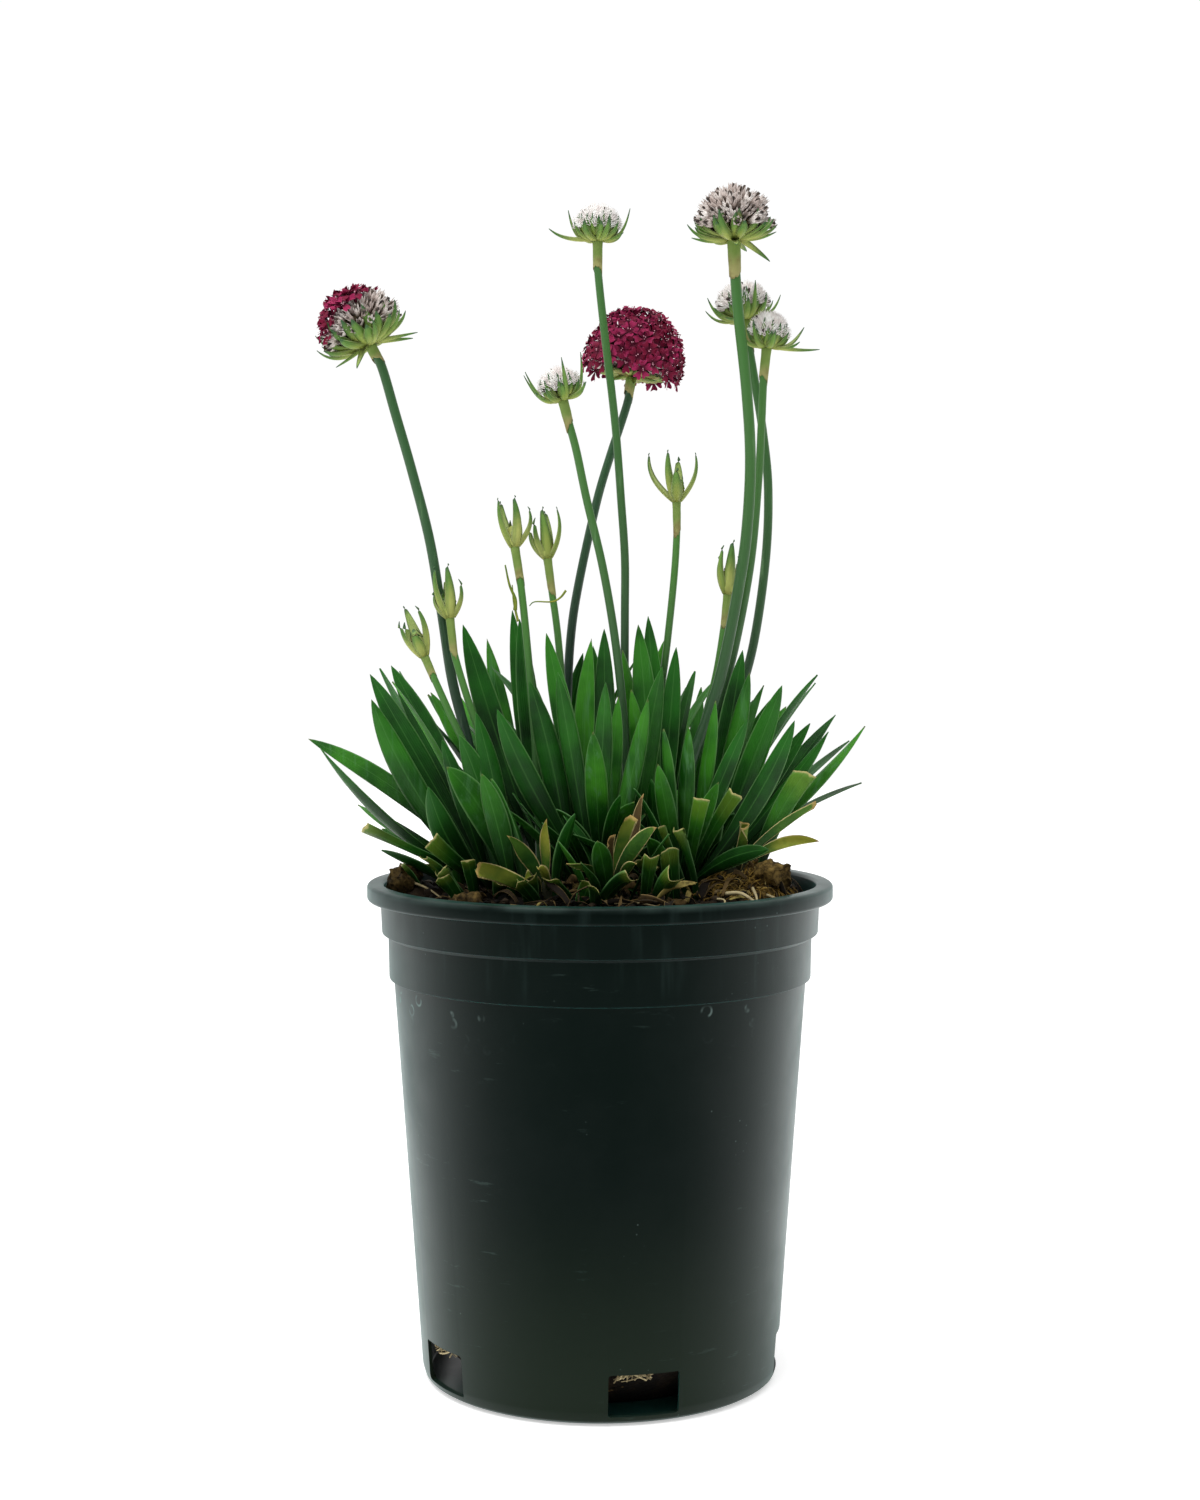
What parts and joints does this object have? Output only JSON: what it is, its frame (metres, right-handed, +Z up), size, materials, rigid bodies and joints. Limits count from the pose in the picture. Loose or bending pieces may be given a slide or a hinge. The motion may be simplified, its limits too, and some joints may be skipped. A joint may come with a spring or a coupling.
{
  "type": "potted armeria plant",
  "caption": "Leafy armeria clump with round flower heads and buds on thin stalks, standing in a black nursery pot filled with potting mix, free standing on the pot's flat base.",
  "frame": {"origin": "centre of the pot's underside, on the surface that it stands on", "axes": "+Z up along the pot's axis, -Y towards the viewer of the pictured side, +X to that viewer's right"},
  "size_m": [0.197, 0.1872, 0.4178],
  "materials": {
    "pot_plastic": "satin black, dusty",
    "potting_mix": "rough, crumbly",
    "leaf": "satin",
    "withered_leaf": "matte",
    "stalk": "satin",
    "bract": "matte",
    "papery_floret": "matte, thin",
    "petal": "matte"
  },
  "bodies": {
    "root": {"pot": "pot_plastic", "potting_mix": "potting_mix", "rosette_1": "leaf", "rosette_2": "leaf", "rosette_3": "leaf", "rosette_4": "leaf", "rosette_5": "leaf", "rosette_6": "leaf", "rosette_7": "leaf", "rosette_8": "leaf", "rosette_9": "leaf", "rosette_10": "leaf", "rosette_11": "leaf", "withered_leaves_1": "withered_leaf", "withered_leaves_2": "withered_leaf", "withered_leaves_3": "withered_leaf", "stalk_a": "stalk", "involucre_a": "bract", "bloom_a": "papery_floret", "stalk_b": "stalk", "involucre_b": "bract", "bloom_b": "papery_floret", "stalk_c": "stalk", "involucre_c": "bract", "bloom_c": "petal", "stalk_d": "stalk", "involucre_d": "bract", "bloom_d": "papery_floret", "stalk_e": "stalk", "involucre_e": "bract", "bloom_e": "papery_floret", "stalk_f": "stalk", "involucre_f": "bract", "bloom_f": "papery_floret", "stalk_g": "stalk", "involucre_g": "bract", "bloom_g": "papery_floret", "stalk_h1": "stalk", "bud_h1": "bract", "stalk_h2": "stalk", "bud_h2": "bract", "stalk_h3": "stalk", "bud_h3": "bract", "stalk_h4": "stalk", "bud_h4": "bract", "stalk_h5": "stalk", "bud_h5": "bract", "stalk_h6": "stalk", "bud_h6": "bract"}
  },
  "joints": []
}
